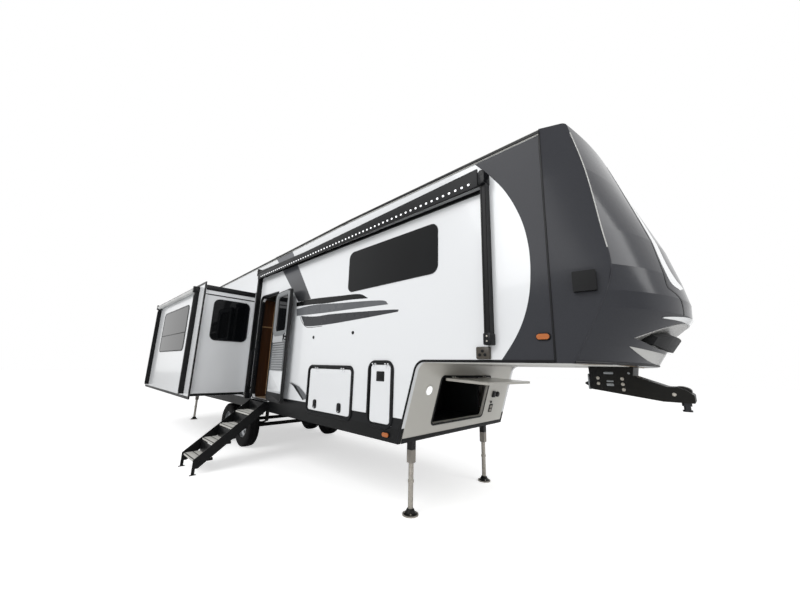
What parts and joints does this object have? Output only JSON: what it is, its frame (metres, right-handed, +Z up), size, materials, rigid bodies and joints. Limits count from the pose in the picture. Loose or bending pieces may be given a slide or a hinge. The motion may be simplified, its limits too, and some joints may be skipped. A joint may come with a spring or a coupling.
{
  "type": "fifth wheel travel trailer",
  "caption": "Long-bodied travel trailer with a raised front deck and kingpin, tandem axles, room slides out on both sides, an awning, entry steps and opening doors.",
  "frame": {"origin": "on the ground, midway along and across the overall box", "axes": "+X points to the front, where the kingpin is, +Y to the road side (left), +Z up; the entry door is on the -Y side"},
  "size_m": [12.038, 4.66, 4.08],
  "materials": {
    "gelcoat_white": "gloss",
    "gelcoat_graphite": "gloss",
    "panel_silver": "satin",
    "trim_black": "satin",
    "frame_steel": "satin",
    "roof_membrane": "matt",
    "floor_board": "satin",
    "belly_sheet": "matt",
    "liner_black": "matt",
    "zinc_steel": "satin",
    "wheel_alloy": "satin",
    "tyre_rubber": "matt",
    "tinted_glass": "gloss",
    "door_panel": "satin",
    "lamp_amber": "gloss",
    "lamp_red": "gloss",
    "cabinet_wood": "satin",
    "wear_pad": "matt",
    "unit_white": "satin",
    "machined_steel": "satin"
  },
  "bodies": {
    "trailer": {"awning": "trim_black", "axles": "frame_steel", "cap_vents": "trim_black", "chassis": "frame_steel", "deck_floor": "floor_board", "door_frames": "trim_black", "entry_cabinet": "cabinet_wood", "entry_steps": "trim_black", "front_cap": "gelcoat_graphite", "generator_bay": "liner_black", "grab_handle": "trim_black", "kingpin": "machined_steel", "leaf_springs": "frame_steel", "leg_rams": "zinc_steel", "leg_tubes": "frame_steel", "main_floor": "floor_board", "marker_lamps": "lamp_amber", "pin_box": "frame_steel", "rear_bumper": "frame_steel", "rear_ladder": "trim_black", "rear_wall": "gelcoat_white", "roof": "roof_membrane", "roof_units": "unit_white", "side_wall_curb": "gelcoat_white", "side_wall_road": "gelcoat_white", "skirts": "trim_black", "slide_pads": "wear_pad", "tail_lamps": "lamp_red", "transition_wall": "panel_silver", "underbelly": "belly_sheet", "window_glass": "tinted_glass"},
    "wheel_curb_front": {"rim_curb_front": "wheel_alloy", "tyre_curb_front": "tyre_rubber"},
    "wheel_curb_rear": {"rim_curb_rear": "wheel_alloy", "tyre_curb_rear": "tyre_rubber"},
    "wheel_road_front": {"rim_road_front": "wheel_alloy", "tyre_road_front": "tyre_rubber"},
    "wheel_road_rear": {"rim_road_rear": "wheel_alloy", "tyre_road_rear": "tyre_rubber"},
    "door_entry": {"entry_door": "door_panel", "entry_door_glass": "tinted_glass"},
    "door_baggage_curb": {"baggage_door_curb": "gelcoat_white"},
    "door_slim_curb": {"slim_door_curb": "gelcoat_white"},
    "door_baggage_road": {"baggage_door_road": "gelcoat_white"},
    "flap_generator": {"generator_flap": "panel_silver"},
    "room_curb": {"slide_curb": "gelcoat_white", "slide_glass_curb": "tinted_glass", "slide_trim_curb": "trim_black"},
    "room_road": {"slide_road": "gelcoat_white", "slide_glass_road": "tinted_glass", "slide_trim_road": "trim_black"}
  },
  "joints": [
    {"name": "wheel_curb_front_spin", "type": "hinge", "parent": "trailer", "child": "wheel_curb_front", "pos_m": [-1.1, -1.01, 0.391], "axis": [0, 1, 0], "continuous": true},
    {"name": "wheel_curb_rear_spin", "type": "hinge", "parent": "trailer", "child": "wheel_curb_rear", "pos_m": [-1.938, -1.01, 0.391], "axis": [0, 1, 0], "continuous": true},
    {"name": "wheel_road_front_spin", "type": "hinge", "parent": "trailer", "child": "wheel_road_front", "pos_m": [-1.1, 1.01, 0.391], "axis": [0, 1, 0], "continuous": true},
    {"name": "wheel_road_rear_spin", "type": "hinge", "parent": "trailer", "child": "wheel_road_rear", "pos_m": [-1.938, 1.01, 0.391], "axis": [0, 1, 0], "continuous": true},
    {"name": "entry_door_hinge", "type": "hinge", "parent": "trailer", "child": "door_entry", "pos_m": [0.213, -1.234, 2.01], "axis": [0, 0, -1], "range_deg": [0, 174]},
    {"name": "baggage_door_curb_hinge", "type": "hinge", "parent": "trailer", "child": "door_baggage_curb", "pos_m": [2.055, -1.234, 1.63], "axis": [-1, 0, 0], "range_deg": [0, 100]},
    {"name": "slim_door_curb_hinge", "type": "hinge", "parent": "trailer", "child": "door_slim_curb", "pos_m": [3.14, -1.234, 1.703], "axis": [-1, 0, 0], "range_deg": [0, 100]},
    {"name": "baggage_door_road_hinge", "type": "hinge", "parent": "trailer", "child": "door_baggage_road", "pos_m": [2.055, 1.234, 1.63], "axis": [1, 0, 0], "range_deg": [0, 100]},
    {"name": "generator_flap_hinge", "type": "hinge", "parent": "trailer", "child": "flap_generator", "pos_m": [3.68971, -0.08, 1.56364], "axis": [0, 1, 0], "range_deg": [0, 104]},
    {"name": "room_curb_slide", "type": "slide", "parent": "trailer", "child": "room_curb", "axis": [0, 1, 0], "range_m": [0, 0.965]},
    {"name": "room_road_slide", "type": "slide", "parent": "trailer", "child": "room_road", "axis": [0, -1, 0], "range_m": [0, 0.965]}
  ]
}
